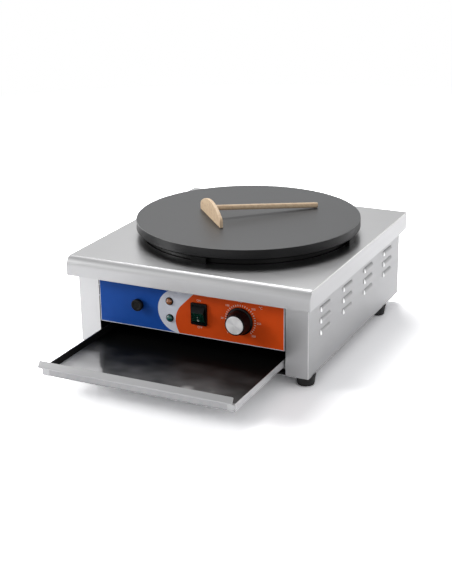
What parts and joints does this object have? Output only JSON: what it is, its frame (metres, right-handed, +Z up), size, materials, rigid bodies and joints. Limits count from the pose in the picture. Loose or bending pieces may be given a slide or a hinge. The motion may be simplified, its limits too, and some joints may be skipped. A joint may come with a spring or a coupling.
{
  "type": "electric crepe maker",
  "caption": "Countertop crepe maker: round cast-iron hot plate on a steel cabinet, with a pull-out drip drawer, a dial and rocker switch panel, and a wooden spreader on the plate.",
  "frame": {"origin": "on the table, under the middle of the whole machine's box with the drawer out as pictured", "axes": "+Z up, the control panel and the drawer face -Y, +X to the machine's right seen from the front"},
  "size_m": [0.4476, 0.6684, 0.2371],
  "materials": {
    "steel_case": "brushed stainless sheet",
    "steel_inner": "plain sheet, dull",
    "steel_tray": "polished tray sheet",
    "screw_steel": "zinc-plated",
    "plate_iron": "dark non-stick enamel",
    "element_sheath": "heat-darkened",
    "rubber_black": "matt",
    "blanket": "ceramic fibre",
    "copper": "bare tube",
    "film_blue": "printed film",
    "film_orange": "printed film",
    "film_white": "printed film",
    "plastic_black": "satin moulded",
    "plastic_cream": "moulded",
    "lens_amber": "clear tinted",
    "lens_green": "clear tinted",
    "window_green": "clear tinted",
    "dial_metal": "spun",
    "lead_jacket": "silicone sleeve",
    "beech": "bare beech"
  },
  "bodies": {
    "cabinet": {"top_cover": "steel_case", "side_panel_left": "steel_case", "side_panel_right": "steel_case", "rear_panel": "steel_case", "rear_screws": "screw_steel", "base_plate": "steel_inner", "foot_front_left": "rubber_black", "foot_front_right": "rubber_black", "foot_back_left": "rubber_black", "foot_back_right": "rubber_black", "foot_screws": "screw_steel", "front_rail": "steel_inner", "divider_shelf": "steel_inner", "hot_plate": "plate_iron", "element_pan": "steel_inner", "insulation_blanket": "blanket", "element_outer": "element_sheath", "element_inner": "element_sheath", "clamp_bars": "steel_inner", "clamp_bolts": "screw_steel", "plate_supports": "steel_inner", "thermostat_bulb": "screw_steel", "bulb_clip": "steel_inner", "capillary_tube": "copper", "control_panel": "steel_case", "label_blue": "film_blue", "label_orange": "film_orange", "label_white": "film_white", "safety_thermostat": "plastic_cream", "lamp_body_amber": "plastic_black", "lamp_lens_amber": "lens_amber", "lamp_body_green": "plastic_black", "lamp_lens_green": "lens_green", "switch_body": "plastic_black", "thermostat_body": "plastic_cream", "thermostat_screws": "screw_steel", "tray_runner_right": "steel_inner", "tray_runner_left": "steel_inner", "cable_gland": "plastic_black", "gland_nut": "plastic_black", "earth_stud": "screw_steel", "terminal_block": "plastic_cream", "internal_leads": "lead_jacket", "element_links": "element_sheath"},
    "drawer": {"tray_pan": "steel_tray", "tray_grip": "steel_tray"},
    "dial": {"dial_knob": "plastic_black", "thermostat_shaft": "screw_steel", "dial_face": "dial_metal"},
    "reset": {"reset_button": "plastic_black"},
    "rocker": {"switch_rocker": "plastic_black", "rocker_window": "window_green"},
    "spreader": {"spreader_blade": "beech", "spreader_handle": "beech"}
  },
  "joints": [
    {"name": "drawer_slide", "type": "slide", "parent": "cabinet", "child": "drawer", "axis": [0, -1, 0], "range_m": [-0.184, 0.14]},
    {"name": "dial_turn", "type": "hinge", "parent": "cabinet", "child": "dial", "pos_m": [0.0938, -0.1408, 0.1014], "axis": [0, 1, 0], "range_deg": [0, 270]},
    {"name": "reset_push", "type": "slide", "parent": "cabinet", "child": "reset", "axis": [0, 1, 0], "range_m": [0, 0.0025], "stiffness_N_per_m": 400},
    {"name": "rocker_tilt", "type": "hinge", "parent": "cabinet", "child": "rocker", "pos_m": [0.0192, -0.1342, 0.1021], "axis": [1, 0, 0], "range_deg": [0, 10]},
    {"name": "spreader_lift", "type": "slide", "parent": "cabinet", "child": "spreader", "axis": [0, 0, 1], "range_m": [0, 0.12]}
  ]
}
